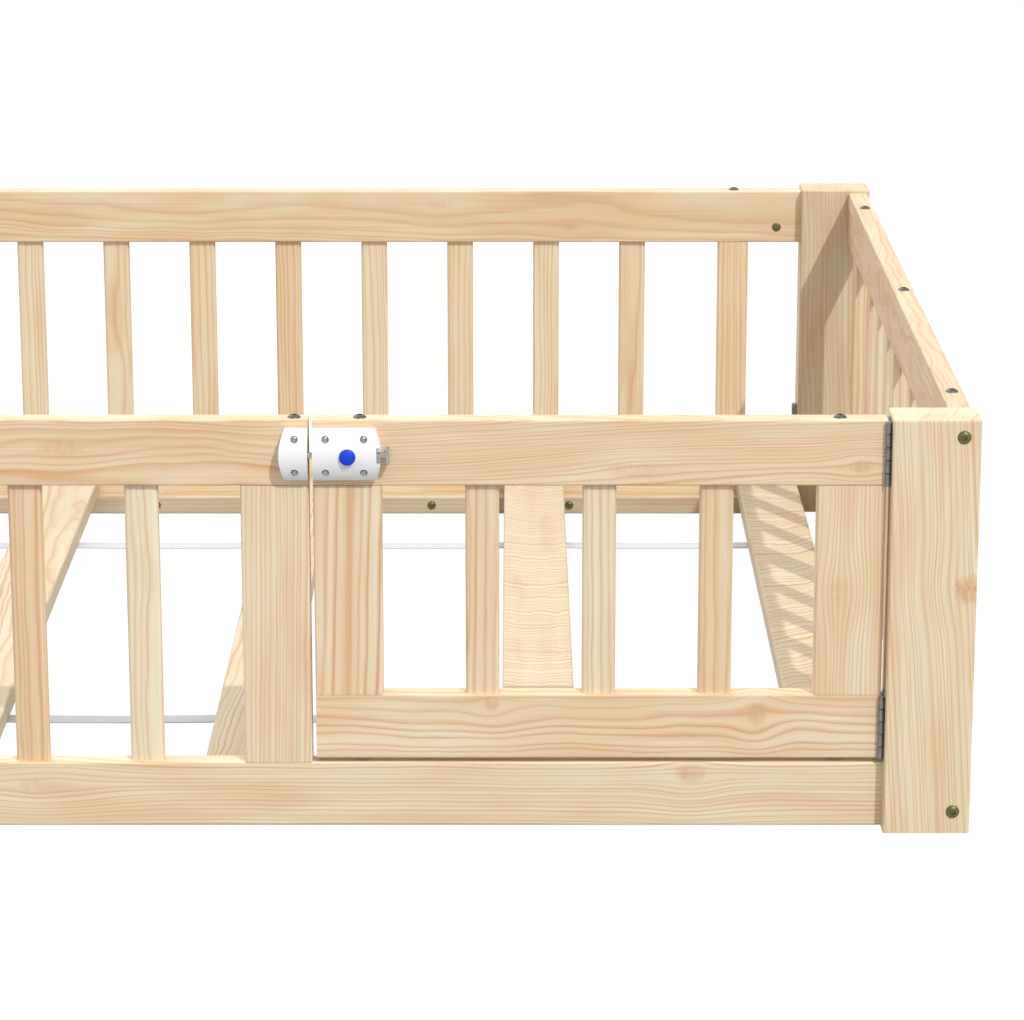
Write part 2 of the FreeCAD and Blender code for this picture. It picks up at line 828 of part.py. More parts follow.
def latch_shell(x0, x1, bow_left, bow_right, inset):
    """The solid of a latch case between two ends, shrunk by an inset on all sides but the back."""
    half = latch_height / 2 - inset
    radius = (latch_height**2 / 4 + latch_bulge**2) / (2 * latch_bulge) - inset
    crown = latch_side_depth + latch_bulge - inset
    rise = radius - math.sqrt(radius**2 - half**2)
    side = crown - rise
    xa = x0 + (0 if bow_left else inset)
    xb = x1 - (0 if bow_right else inset)
    points = [
        Vector(xa, y_off_rail(0), z_latch - half),
        Vector(xa, y_off_rail(side), z_latch - half),
        Vector(xa, y_off_rail(crown), z_latch),
        Vector(xa, y_off_rail(side), z_latch + half),
        Vector(xa, y_off_rail(0), z_latch + half),
    ]
    outline = [
        Part.makeLine(points[0], points[1]),
        Part.Arc(points[1], points[2], points[3]).toShape(),
        Part.makeLine(points[3], points[4]),
        Part.makeLine(points[4], points[0]),
    ]
    solid = Part.Face(Part.Wire(outline)).extrude(Vector(xb - xa, 0, 0))
    return solid.common(bowed_block(x0 + inset, x1 - inset, bow_left, bow_right, half))


def bowed_block(x0, x1, bow_left, bow_right, half):
    """A block as deep as the latch, whose left or right end bows outwards."""
    y_near = y_off_rail(-overcut)
    corners = [
        Vector(x0 + latch_bow * bow_left, y_near, z_latch + half),
        Vector(x0 + latch_bow * bow_left, y_near, z_latch - half),
        Vector(x1 - latch_bow * bow_right, y_near, z_latch - half),
        Vector(x1 - latch_bow * bow_right, y_near, z_latch + half),
    ]
    left = Part.makeLine(corners[0], corners[1])
    right = Part.makeLine(corners[2], corners[3])
    if bow_left:
        left = Part.Arc(corners[0], Vector(x0, y_near, z_latch), corners[1]).toShape()
    if bow_right:
        right = Part.Arc(corners[2], Vector(x1, y_near, z_latch), corners[3]).toShape()
    outline = [
        left,
        Part.makeLine(corners[1], corners[2]),
        right,
        Part.makeLine(corners[3], corners[0]),
    ]
    return Part.Face(Part.Wire(outline)).extrude(Vector(0, -(latch_reach + 2 * overcut), 0))


def latch_bore(radius, x, z, low, high):
    """A round cut or boss across the latch, between two distances off the rail."""
    return cylinder(radius, high - low, (x, y_off_rail(low), z), (0, -1, 0))


def latch_case(x0, x1, bow_left, bow_right, screw_xs, screw_list, rail):
    """A hollow case with a boss, a seat and a screw at each screw place."""
    outer = latch_shell(x0, x1, bow_left, bow_right, 0.0)
    inner = latch_shell(x0, x1, bow_left, bow_right, latch_wall)
    case = outer.cut(inner)
    bosses = []
    seats = []
    shanks = []
    pan = cross_screw(
        latch_screw_head_radius, latch_screw_head_height, latch_screw_radius, latch_screw_length
    )
    for x in screw_xs:
        for z in (z_latch - latch_screw_height, z_latch + latch_screw_height):
            bosses.append(latch_bore(latch_boss_radius, x, z, 0, latch_screw_seat + latch_wall))
            seats.append(
                latch_bore(
                    latch_screw_head_radius + latch_seat_clearance,
                    x,
                    z,
                    latch_screw_seat,
                    latch_reach + overcut,
                )
            )
            shanks.append(
                latch_bore(
                    latch_screw_radius + thread_clearance,
                    x,
                    z,
                    latch_screw_seat - latch_screw_length - shank_end_clearance,
                    latch_screw_seat + overcut,
                )
            )
            screw_list.append(placed(pan, (x, y_off_rail(latch_screw_seat), z), (0, 1, 0)))
    case = case.multiFuse([boss.common(outer) for boss in bosses])
    rail_cutters.setdefault(rail, []).extend(shanks)
    return case.cut(seats + shanks)


keeper_screws = []
housing_screws = []
x_keeper_right = x_front_panel_right - keeper_edge_setback
x_keeper_left = x_keeper_right - keeper_width
x_housing_left = x_gate_left + housing_edge_setback
x_housing_right = x_housing_left + housing_width
x_rod_left = x_keeper_right - rod_engagement
x_pull = x_housing_right + pull_standoff
x_button = x_housing_left + button_from_edge
x_end_wall = x_housing_right - pull_notch_depth - latch_wall
x_stop_ring = x_housing_left + latch_wall + stop_ring_gap
x_guide_rib = x_stop_ring + rod_stop_width + rod_travel + stop_ring_gap
rod_hole_radius = rod_radius + rod_clearance


def rod_hole(radius, x0, x1):
    """A bore along the rod's line."""
    return cylinder(radius, x1 - x0, (x0, y_off_rail(rod_from_rail), z_latch), (1, 0, 0))


keeper = latch_case(
    x_keeper_left,
    x_keeper_right,
    1,
    0,
    [x_keeper_right - keeper_screw_from_edge],
    keeper_screws,
    "front_top_rail",
)
keeper_socket = rod_hole(
    rod_radius + keeper_socket_clearance,
    x_rod_left - keeper_socket_spare,
    x_keeper_right + overcut,
)
parts["latch_keeper"] = keeper.cut(keeper_socket)
parts["keeper_screws"] = keeper_screws

housing = latch_case(
    x_housing_left,
    x_housing_right,
    0,
    1,
    [
        x_housing_left + housing_first_screw,
        x_housing_left + housing_first_screw + housing_screw_spacing,
    ],
    housing_screws,
    "gate_top_rail",
)
inside = latch_shell(x_housing_left, x_housing_right, 0, 1, latch_wall / 2)
ribs = [
    box(
        x0,
        x0 + latch_wall,
        y_off_rail(latch_side_depth + latch_bulge),
        y_off_rail(latch_plate + plate_clearance),
        z_latch - pull_notch_height / 2,
        z_latch + pull_notch_height / 2,
    ).common(inside)
    for x0 in (x_guide_rib, x_end_wall)
]
notch = box(
    x_end_wall + latch_wall,
    x_housing_right + overcut,
    y_off_rail(latch_reach),
    y_off_rail(latch_plate + notch_floor),
    z_latch - pull_notch_height / 2,
    z_latch + pull_notch_height / 2,
)
notch_lining = latch_shell(x_housing_left, x_housing_right, 0, 1, 0.0).common(
    box(
        x_end_wall,
        x_housing_right + overcut,
        y_off_rail(latch_reach),
        y_off_rail(notch_floor),
        z_latch - pull_notch_height / 2 - latch_wall,
        z_latch + pull_notch_height / 2 + latch_wall,
    )
)
collar = latch_bore(
    collar_radius,
    x_button,
    z_latch,
    latch_side_depth + latch_bulge - latch_wall / 2,
    latch_side_depth + latch_bulge + collar_height,
)
button_hole = latch_bore(
    button_radius + moving_clearance, x_button, z_latch, latch_side_depth, latch_reach + overcut
)
housing = housing.multiFuse([*ribs, notch_lining, collar])
rod_bore = rod_hole(rod_hole_radius, x_housing_left - overcut, x_housing_right)
housing = housing.cut([notch, button_hole, rod_bore])
parts["housing_screws"] = housing_screws

# The back plate closes the housing behind the rod, inside its walls.
plate_solid = latch_shell(x_housing_left, x_housing_right, 0, 1, latch_wall + plate_clearance)
plate_slab = box(
    x_housing_left,
    x_end_wall,
    y_off_rail(latch_plate),
    y_off_rail(0),
    z_latch - latch_height,
    z_latch + latch_height,
)
boss_clearances = [
    latch_bore(
        latch_boss_radius + plate_clearance,
        x_housing_left + housing_first_screw + i * housing_screw_spacing,
        z_latch + side * latch_screw_height,
        -overcut,
        latch_plate + overcut,
    )
    for i in (0, 1)
    for side in (-1, 1)
]
back_plate = plate_solid.common(plate_slab).cut(boss_clearances)
parts["latch_back_plate"] = back_plate
parts["latch_housing"] = housing.cut(back_plate)

rod = rod_hole(rod_radius, x_rod_left, x_pull)
parts["latch_rod"] = [
    rod,
    rod_hole(rod_stop_radius, x_stop_ring, x_stop_ring + rod_stop_width).cut(rod),
]
pull = box(
    x_pull,
    x_pull + pull_thickness,
    y_off_rail(rod_from_rail + pull_depth / 2),
    y_off_rail(rod_from_rail - pull_depth / 2),
    z_latch - pull_height / 2,
    z_latch + pull_height / 2,
)
parts["latch_pull"] = pull.makeFillet(pull_round, edges_along(pull, "x"))


def domed_button():
    """The button: a domed cap, two legs that straddle the rod, and ears that keep it in."""
    cap_low = rod_from_rail + rod_radius + button_travel + moving_clearance
    cap = latch_bore(button_radius, x_button, z_latch, cap_low, button_side_height)
    sphere_radius = (button_radius**2 + button_dome**2) / (2 * button_dome)
    ball = Part.makeSphere(
        sphere_radius, Vector(x_button, y_off_rail(latch_reach - sphere_radius), z_latch)
    )
    dome = ball.common(
        latch_bore(
            button_radius, x_button, z_latch, button_side_height - overcut, latch_reach + overcut
        )
    )
    shape = cap.fuse(dome)
    half = button_leg_width / 2
    for side in (-1, 1):
        for low, high, inner, outer in (
            (button_leg_end, cap_low + overcut, button_leg_inner, button_leg_outer),
            (button_ear_low, button_ear_high, button_leg_inner, button_ear_outer),
        ):
            z0, z1 = sorted((z_latch + side * inner, z_latch + side * outer))
            shape = shape.fuse(
                box(x_button - half, x_button + half, y_off_rail(high), y_off_rail(low), z0, z1)
            )
    return shape.removeSplitter()


parts["latch_button"] = domed_button()


def coil(z):
    """One of the two springs behind the button's legs."""
    length = button_leg_end - latch_plate - 2 * (spring_wire + spring_end_gap)
    helix = Part.makeHelix(length / spring_turns, length, spring_radius)
    section = Part.Wire(
        Part.makeCircle(spring_wire, Vector(spring_radius, 0, 0), Vector(0, 1, 0))
    )
    wound = Part.Wire(helix).makePipeShell([section], True, True)
    y_start = y_off_rail(latch_plate + spring_wire + spring_end_gap)
    return placed(wound, (x_button, y_start, z), (0, -1, 0))


spring_offset = (button_leg_inner + button_leg_outer) / 2
parts["button_springs"] = [coil(z_latch + side * spring_offset) for side in (-1, 1)]


# ---- Small steel stop block on the back right post's inner face ----
x_block = x_post_inner - stop_block_width
block = box(
    x_block,
    x_post_inner,
    y_back_rail - stop_block_depth / 2,
    y_back_rail + stop_block_depth / 2,
    stop_block_top - stop_block_height,
    stop_block_top,
)
block_holes = []
for z_screw in (
    stop_block_top - stop_block_screw_inset,
    stop_block_top - stop_block_height + stop_block_screw_inset,
):
    point = (x_block, y_back_rail, z_screw)
    post_hinge_screws.append(placed(flat_screw(), point, (1, 0, 0)))
    block_holes.append(placed(flat_screw_hole(), point, (1, 0, 0)))
parts["post_stop_block"] = block.cut(block_holes)
post_cutters["back_right_post"].extend(block_holes)
parts["post_hinge_screws"] = post_hinge_screws
parts["gate_hinge_screws"] = gate_hinge_screws


# ---- Cut the collected holes and mortises, then write each node ----
for cutters in (post_cutters, rail_cutters):
    for name, tools in cutters.items():
        parts[name] = parts[name].cut(tools)

os.makedirs("parts", exist_ok=True)
for name, shape in parts.items():
    solids = []
    for piece in shape if isinstance(shape, list) else [shape]:
        solids += piece.Solids
    node = Part.makeCompound(solids)
    if not node.isValid():
        print("not valid:", name)
    node.exportStep(f"parts/{name}.step")
print(len(parts), "nodes")
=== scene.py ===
"""Finishes a pine toddler floor bed: boards, fasteners, latch, webbing and a studio."""

import math

import bmesh
import bpy
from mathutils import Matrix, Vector


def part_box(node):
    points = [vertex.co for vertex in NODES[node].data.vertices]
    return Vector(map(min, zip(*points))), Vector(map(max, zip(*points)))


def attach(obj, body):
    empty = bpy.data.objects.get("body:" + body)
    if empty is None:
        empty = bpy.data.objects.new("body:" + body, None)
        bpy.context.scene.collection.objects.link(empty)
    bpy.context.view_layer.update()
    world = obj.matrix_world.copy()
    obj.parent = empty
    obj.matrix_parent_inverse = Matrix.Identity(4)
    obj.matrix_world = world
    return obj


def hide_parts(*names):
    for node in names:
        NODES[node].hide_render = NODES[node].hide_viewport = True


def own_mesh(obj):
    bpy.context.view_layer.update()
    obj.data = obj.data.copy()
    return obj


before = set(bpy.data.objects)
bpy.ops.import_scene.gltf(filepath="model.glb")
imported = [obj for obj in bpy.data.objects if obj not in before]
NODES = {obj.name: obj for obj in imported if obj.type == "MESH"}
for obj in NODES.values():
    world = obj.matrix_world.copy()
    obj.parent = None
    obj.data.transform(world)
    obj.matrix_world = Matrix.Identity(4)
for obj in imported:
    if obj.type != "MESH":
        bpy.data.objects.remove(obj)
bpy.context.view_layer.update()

bl_info = {
    "name": "Toddler Floor Bed",
    "version": (1, 0, 0),
    "blender": (4, 5, 0),
    "location": "View3D > Sidebar > Floor Bed",
    "description": "Finishes a pine toddler floor bed and sets up its studio",
    "category": "Object",
}


MILLIMETRES = 1000.0  # in a metre
WHITE = (1, 1, 1, 1)


def srgb(display):
    """A colour given in display values from 0 to 255, as linear values."""
    shares = (value / 255 for value in display)
    return tuple(
        share / 12.92 if share <= 0.04045 else ((share + 0.055) / 1.055) ** 2.4
        for share in shares
    )


def opaque(colour, level=1.0):
    """A colour at a level of brightness, with an alpha of 1."""
    return tuple(value * level for value in colour) + (1,)


# ---- Shader maths ----
class Wire:
    """A node's output socket that takes part in Python arithmetic."""

    def __init__(self, shader, socket):
        self.shader = shader
        self.socket = socket

    def maths(self, operation, *values):
        sockets = {0: self}
        for place, value in enumerate(values, start=1):
            sockets[place] = value
        return self.shader.add("ShaderNodeMath", {"operation": operation}, sockets)

    def __add__(self, other):
        return self.maths("ADD", other)

    __radd__ = __add__

    def __sub__(self, other):
        return self.maths("SUBTRACT", other)

    def __rsub__(self, other):
        return self.shader.add("ShaderNodeMath", {"operation": "SUBTRACT"}, {0: other, 1: self})

    def __mul__(self, other):
        return self.maths("MULTIPLY", other)

    __rmul__ = __mul__

    def __truediv__(self, other):
        return self.maths("DIVIDE", other)

    def __pow__(self, other):
        return self.maths("POWER", other)

    def __abs__(self):
        return self.maths("ABSOLUTE")

    def __floor__(self):
        return self.maths("FLOOR")


class Tree:
    """A node tree that starts empty."""

    def __init__(self, tree):
        self.tree = tree
        self.tree.nodes.clear()

    def add(self, kind, settings=None, sockets=None, output=0):
        """Adds a node of a kind, with its settings first and then its sockets' values or links."""
        node = self.tree.nodes.new(kind)
        for key, value in (settings or {}).items():
            if key == "stops":
                while len(node.color_ramp.elements) < len(value):
                    node.color_ramp.elements.new(0.5)
                for element, (place, colour) in zip(node.color_ramp.elements, value):
                    element.position = place
                    element.color = colour
            else:
                setattr(node, key, value)
        for key, value in (sockets or {}).items():
            socket = node.inputs[key]
            if isinstance(value, Wire):
                self.tree.links.new(value.socket, socket)
            else:
                socket.default_value = value
        return Wire(self, node.outputs[output])

    def blend(self, factor, first, second, mode="MIX"):
        """A mix of two colours."""
        settings = {"data_type": "RGBA", "blend_type": mode, "clamp_factor": True}
        return self.add("ShaderNodeMix", settings, {0: factor, 6: first, 7: second}, output=2)

    def ease(self, value, low, high, start=0.0, end=1.0):
        """A smooth step of a value from one range to another."""
        settings = {"interpolation_type": "SMOOTHSTEP"}
        sockets = {0: value, 1: low, 2: high, 3: start, 4: end}
        return self.add("ShaderNodeMapRange", settings, sockets)

    def vector(self, x, y, z):
        """A vector of three values."""
        return self.add("ShaderNodeCombineXYZ", None, {0: x, 1: y, 2: z})

    def noise(self, vector, detail):
        """Smooth noise over a vector, from 0 to 1."""
        sockets = {"Vector": vector, "Scale": 1.0, "Detail": detail}
        return self.add("ShaderNodeTexNoise", {"noise_dimensions": "3D"}, sockets)

    def speckle(self, point, scale, detail):
        """Smooth noise that is alike in all directions, at a scale per millimetre."""
        return self.noise(self.vector(*(value * scale for value in point)), detail)

    def seen(self):
        """1 for rays that the viewer sees directly, in a reflection or through glass."""
        path = self.add("ShaderNodeLightPath").socket.node.outputs
        eye, gloss, through = (
            Wire(self, path[key])
            for key in ("Is Camera Ray", "Is Glossy Ray", "Is Transmission Ray")
        )
        return eye.maths("MAXIMUM", gloss).maths("MAXIMUM", through)

    def end(self, surface, kind):
        """Links a surface to the tree's output."""
        node = self.tree.nodes.new(kind)
        self.tree.links.new(surface.socket, node.inputs["Surface"])


class Shader(Tree):
    """One material and its node tree."""

    def __init__(self, name):
        self.material = bpy.data.materials.new(name)
        self.material.use_nodes = True
        super().__init__(self.material.node_tree)

    def place(self):
        """The object's own coordinates, in millimetres, as three values."""
        point = self.add("ShaderNodeTexCoord", None, None, "Object")
        split = self.add("ShaderNodeSeparateXYZ", None, {0: point})
        outputs = split.socket.node.outputs
        return [Wire(self, outputs[i]) * MILLIMETRES for i in range(3)]

    def finish(self, surface):
        """Ends the material in a surface."""
        self.end(surface, "ShaderNodeOutputMaterial")
        return self.material

    def coat(self, sockets, height, bump, depth):
        """Ends the material in a Principled surface, with a relief of a depth in metres."""
        relief = {"Strength": bump, "Distance": depth, "Height": height}
        normal = self.add("ShaderNodeBump", None, relief)
        return self.finish(
            self.add("ShaderNodeBsdfPrincipled", None, {**sockets, "Normal": normal})
        )


# ---- Pine ----
CELL_DEPTH_SPREAD = 34.0  # how far the hearts of a row's bars lie apart in depth
MIRROR_SHIFT = 40.0  # keeps the bars right of the middle apart from those left of it
SEED_STEP = 91.7  # millimetres of wood between two boards' seeds
CELL_STEP = 37.0  # seeds between two bars of a row
RING_UNEVENNESS = 2.4  # rings added at most, so their spacing isn't even
FAINTEST_RING = 0.35  # the palest ring's strength next to the boldest's
BODY_TONE = 0.36  # where the usual wood lies between the spring and the summer colours
# How dark a growth ring is across its width, with the dark summer wood near its end.
RING = [(0.0, 0.3), (0.12, 0.1), (0.42, 0.0), (0.66, 0.35), (0.84, 0.9), (0.92, 1.0), (1.0, 0.3)]


class Board:
    """How one board was sawn: its grain, its growth rings and its knots, all in millimetres.

    along and across: the axes that the grain and the wide face's other side run along.
    heart: where the tree's middle lay, across and in depth, seen from the board's middle.
    ring: the width of a growth ring.
    lean: how far the heart drifts per millimetre of length, across and in depth.
    sway and reach: how far the rings wander, and the length of board that they do it over.
    bold: the contrast of the rings.
    peach: how readily the wood blushes.
    shade: painted shade, a factor that darkens the board's colours where shade falls low in the
    bed, at its back and on an end rail's inner face.
    ripple: how far the rings waver from one fibre to the next.
    streaks: the strength of the fine lengthways streaks.
    knots: for each, its place along and across, its length, its width, how hard it pushes the
    grain aside, and how dark its core is.
    cells: for a row of like boards, their pitch, the place of one of them, and whether the row
    mirrors about the bed's middle.
    seed: a number that sets this board's wood apart.
    """

    def __init__(
        self, along, across, heart, ring=3.2, lean=(0.0, 0.0), sway=5.0, reach=220.0,
        bold=0.62, peach=0.3, shade=1.0, ripple=1.6, streaks=0.5, knots=(), cells=None, seed=0.0,
    ):
        self.along = along
        self.across = across
        self.heart = heart
        self.ring = ring
        self.lean = lean
        self.sway = sway
        self.reach = reach
        self.bold = bold
        self.peach = peach
        self.shade = shade
        self.ripple = ripple
        self.streaks = streaks
        self.knots = knots
        self.cells = cells
        self.seed = seed


def pine(name, board, look):
    """A pine material for one board, or for a row of like boards."""
    shader = Shader(name)
    xyz = dict(zip("xyz", shader.place()))
    low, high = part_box(name)
    middle = {axis: MILLIMETRES * (low[i] + high[i]) / 2 for i, axis in enumerate("xyz")}
    depth_axis = ({"x", "y", "z"} - {board.along, board.across}).pop()
    along = xyz[board.along]
    depth = xyz[depth_axis] - middle[depth_axis]
    heart_across, heart_depth = board.heart
    tint_shift = 0.0
    seed = board.seed
    if board.cells is None:
        across = xyz[board.across] - middle[board.across]
    else:
        pitch, first, mirrored = board.cells
        raw = xyz[board.across]
        spot = abs(raw) if mirrored else raw
        index = math.floor((spot - first) / pitch + 0.5)
        across = spot - first - index * pitch
        if mirrored:
            index = index + MIRROR_SHIFT * raw.maths("GREATER_THAN", 0.0)
        dice = shader.add(
            "ShaderNodeTexWhiteNoise", {"noise_dimensions": "1D"}, {"W": index + board.seed}, 1
        )
        rolls = shader.add("ShaderNodeSeparateColor", None, {0: dice}).socket.node.outputs
        rolls = [Wire(shader, rolls[i]) for i in range(3)]
        heart_across = (rolls[0] - 0.5) * 2.0 * heart_across
        heart_depth = heart_depth + rolls[1] * CELL_DEPTH_SPREAD
        tint_shift = rolls[2] - 0.5
        seed = index * CELL_STEP + board.seed
    shifted = along + seed * SEED_STEP

    # Knots push the grain aside, and have a core of their own.
    core = None
    for spot_along, spot_across, length, width, push, dark in board.knots:
        near_along = (along - spot_along) / length
        near_across = (across - spot_across) / width
        square = near_along * near_along + near_across * near_across
        bulge = (square * -0.22).maths("EXPONENT") * push
        across = across - (across - spot_across) * bulge
        ragged = shader.noise(shader.vector(along * 0.05, across * 0.2, depth * 0.1), 2.0)
        mask = shader.ease(square + ragged * 1.1, 1.5, 0.55, 0.0, dark)
        core = mask if core is None else core.maths("MAXIMUM", mask)

    def grain(length, width, detail):
        """Noise that is drawn out along the grain."""
        return shader.noise(shader.vector(shifted / length, across / width, depth / width), detail)

    # The distance from the tree's heart, which wanders along the board.
    wander = grain(board.reach, 60.0, 2.0) - 0.5
    ripple = grain(45.0, 14.0, 1.0) - 0.5
    from_across = across - heart_across - along * board.lean[0]
    from_depth = depth - heart_depth - along * board.lean[1]
    radius = (from_across * from_across + from_depth * from_depth) ** 0.5
    radius = radius + wander * (2.0 * board.sway) + ripple * board.ripple
    count = radius / board.ring
    uneven = shader.add(
        "ShaderNodeTexNoise",
        {"noise_dimensions": "1D"},
        {"W": count * 0.31 + board.seed, "Scale": 1.0},
    )
    count = count + uneven * RING_UNEVENNESS
    year = math.floor(count)
    season = count - year
    strength = shader.add(
        "ShaderNodeTexWhiteNoise", {"noise_dimensions": "1D"}, {"W": year + board.seed}
    )
    strength = strength * (1.0 - FAINTEST_RING) + FAINTEST_RING

    # Pale spring wood, then a thin line of darker summer wood in each ring.
    ring_stops = [(place, (value, value, value, 1)) for place, value in RING]
    line = shader.add("ShaderNodeValToRGB", {"stops": ring_stops}, {0: season})
    tone = (line - 0.3) * strength * board.bold + BODY_TONE + tint_shift * 0.2
    patchy = grain(170.0, 30.0, 2.0)
    streak = grain(150.0, 1.2, 2.0)
    fibre = grain(14.0, 0.5, 1.0)
    tone = tone + (patchy - 0.5) * 0.34 + (streak - 0.5) * board.streaks + (fibre - 0.5) * 0.12

    places = (0.0, 0.42, 1.0)
    woods = (look.spring_wood, look.body_wood, look.summer_wood)
    # The wood colours are darkened by the board's painted shade, which stands in for the shade
    # that falls on it.
    wood_stops = [(place, opaque(wood, board.shade)) for place, wood in zip(places, woods)]
    colour = shader.add("ShaderNodeValToRGB", {"stops": wood_stops}, {0: tone})
    blush = grain(110.0, 22.0, 1.0)
    blush = shader.ease(blush + (board.peach - 0.3) + tint_shift * 0.4, 0.4, 0.75)
    colour = shader.blend(blush, colour, opaque(look.peach_wood), "MULTIPLY")
    if core is not None:
        swirl = shader.noise(shader.vector(along / 5.0, across / 3.0, depth / 3.0), 2.0)
        knot_stops = [(0.3, opaque(look.knot_light)), (0.7, opaque(look.knot_dark))]
        knot = shader.add("ShaderNodeValToRGB", {"stops": knot_stops}, {0: swirl})
        colour = shader.blend(core, colour, knot)
    rough = 0.56 - tone * 0.12
    return shader.coat(
        {"Base Color": colour, "Roughness": rough, "Specular IOR Level": 0.3},
        height=fibre * 0.6 + tone * 0.4, bump=0.25, depth=0.0002,
    )


def rail(heart, **grain):
    """A rail along the bed, seen on its standing face."""
    return Board("x", "z", heart, **grain)


def end_rail(heart, **grain):
    """A rail across the bed's end."""
    return Board("y", "z", heart, **grain)


def upright(heart, **grain):
    """A standing board in the front or the back."""
    return Board("z", "x", heart, **grain)


def slat(heart, **grain):
    """A slat of the deck, seen on its upper face."""
    return Board("y", "x", heart, **grain)


# A painted shade below 1 darkens a board for the shade at the back of the bed, low in it and on
# the right end rail's inner face.
POSTS = {
    "front_right_post": upright(
        (-96, 34), ring=3.3, lean=(-0.06, 0.02), sway=1.4, reach=300, ripple=0.9, bold=0.7,
        peach=0.28, seed=3,
        knots=[(198, 28, 15, 16, 0.3, 0.75)],
    ),
    "front_left_post": upright((88, 40), ring=4.4, lean=(0.03, 0.01), sway=5, seed=14),
    "back_right_post": upright(
        (-70, 48), ring=3.6, lean=(-0.05, 0.0), bold=0.45, shade=0.8, seed=25,
    ),
    "back_left_post": upright((76, -44), ring=4.6, sway=6, seed=36),
}
LONG_RAILS = {
    "front_top_rail": rail(
        (-34, 44), ring=3.0, lean=(0.012, 0.01), sway=9, reach=200, bold=0.7, peach=0.42, seed=5,
        knots=[(342, 4, 26, 9, 0.5, 0.35), (-420, -6, 12, 8, 0.6, 0.6)],
    ),
    "front_bottom_rail": rail(
        (118, 30), ring=3.0, reach=330, bold=0.75, seed=8,
        knots=[
            (322.7, 6, 26, 9, 0.8, 0.25), (827, 17, 14, 12, 0.5, 0.5), (-330, 2, 13, 9, 0.6, 0.6),
        ],
    ),
    "back_top_rail": rail(
        (34, 44), ring=3.6, lean=(-0.02, 0.0), sway=8, reach=210, peach=0.4, shade=0.93, seed=11,
        knots=[(748, -10, 9, 5, 0.6, 0.3), (615, 12, 18, 6, 0.5, 0.3), (-210, 4, 13, 9, 0.6, 0.6)],
    ),
    "back_bottom_rail": rail((-90, 34), ring=4.0, sway=7, seed=17),
}
END_RAILS = {
    "right_top_rail": end_rail(
        (-4, 30), ring=3.8, lean=(0.02, 0.02), sway=11, reach=120, bold=0.6, peach=0.5, shade=0.88,
        seed=19,
        knots=[(120, 3, 12, 8, 0.6, 0.45)],
    ),
    "right_bottom_rail": end_rail((80, 30), ring=4.2, seed=23),
    "left_top_rail": end_rail((14, 38), ring=4.6, lean=(0.02, 0.01), sway=12, reach=180, seed=29),
    "left_bottom_rail": end_rail((-84, 26), ring=4.2, seed=31),
}
STILES = {
    "front_gate_side_stile": upright(
        (-74, 22), ring=3.2, lean=(0.02, 0), sway=2.5, bold=0.75, seed=41,
    ),
    "front_left_stile": upright((70, 26), ring=5.0, seed=43),
    "back_left_stile": upright((-60, 26), ring=4.6, seed=47),
    "back_middle_stile": upright((18, 40), ring=4.8, sway=8, seed=53),
    "back_right_stile": upright((46, 20), ring=3.4, sway=6, peach=0.5, seed=59),
}
BAR_ROWS = {
    "front_bars": upright((46, 26), ring=3.3, sway=4, seed=61, cells=(89.419, -848.581, False)),
    "back_bars": upright(
        (44, 26), ring=3.4, sway=4, shade=0.95, seed=67, cells=(86.556, 116.25, True),
    ),
}
END_CELLS = (95.25, -388.0, False)
END_UPRIGHTS = {
    "left_end_uprights": Board("z", "y", (44, 16), ring=4.6, seed=71, cells=END_CELLS),
    "right_end_uprights": Board("z", "y", (44, 16), ring=4.6, seed=73, cells=END_CELLS),
}
DECK = {
    "front_ledger": rail((60, 18), ring=4.0, seed=79),
    "back_ledger": rail((-60, 18), ring=4.0, seed=83, bold=0.6, shade=0.8),
}
# Each slat's heart, rings, lean, sway and ripple. A lean in depth sends the rings across the slat.
SLAT_CUTS = [
    ((30, -44), 3.4, (0.02, 0.02), 6, 1.6),
    ((-24, -60), 3.6, (0.0, 0.05), 6, 1.6),
    ((52, -40), 3.2, (0.04, 0.0), 5, 1.6),
    ((-10, -84), 3.4, (0.0, 0.12), 5, 2.0),
    ((40, -36), 3.4, (0.03, 0.0), 6, 1.6),
    ((34, -42), 3.6, (-0.04, 0.0), 5, 1.6),
    ((-46, -36), 3.8, (0.05, 0.0), 5, 1.6),
    ((6, -190), 2.6, (0.0, 0.32), 4, 5.0),
    ((-34, -200), 2.6, (0.1, 0.24), 4, 4.0),
]
# Every slat carries the same painted shade, darker than the rails, for the shade that falls low in
# the bed.
for number, (heart, ring, lean, sway, ripple) in enumerate(SLAT_CUTS, start=1):
    DECK[f"slat_{number}"] = slat(
        heart, ring=ring, lean=lean, sway=sway, ripple=ripple, streaks=0.2, reach=110, bold=0.9,
        peach=0.22, shade=0.79, seed=90 + 7 * number,
    )
GATE_BOARDS = {
    "gate_top_rail": rail(
        (-92, 26), ring=2.5, lean=(0.05, 0.0), sway=4, peach=0.42, seed=131,
        knots=[(955, -11, 12, 6, 0.75, 0.45), (782, -15, 34, 8, 0.4, 0.3)],
    ),
    "gate_bottom_rail": rail(
        (54, 34), ring=5.4, sway=8, reach=130, bold=0.7, peach=0.42, seed=137,
        knots=[(672.3, 19, 9, 8, 0.7, 0.7), (878.4, 10, 10, 12, 0.7, 0.5)],
    ),
    "gate_latch_stile": upright(
        (-60, 16), ring=7.4, lean=(0.04, 0), sway=3, bold=1.0, peach=0.4, seed=139,
    ),
    "gate_hinge_stile": upright(
        (72, 22), ring=3.0, sway=4, peach=0.4, seed=149,
        knots=[(193, -8, 14, 8, 0.6, 0.25)],
    ),
    "gate_bars": upright((46, 26), ring=3.2, sway=4, seed=151, cells=(89.975, 664.975, False)),
}


# ---- Settings a user would change ----
def colour_setting(name, description, value):
    """A colour property whose default is given in display values."""
    return bpy.props.FloatVectorProperty(
        name=name, description=description, subtype="COLOR", size=3, min=0.0, max=1.0,
        default=srgb(value),
    )


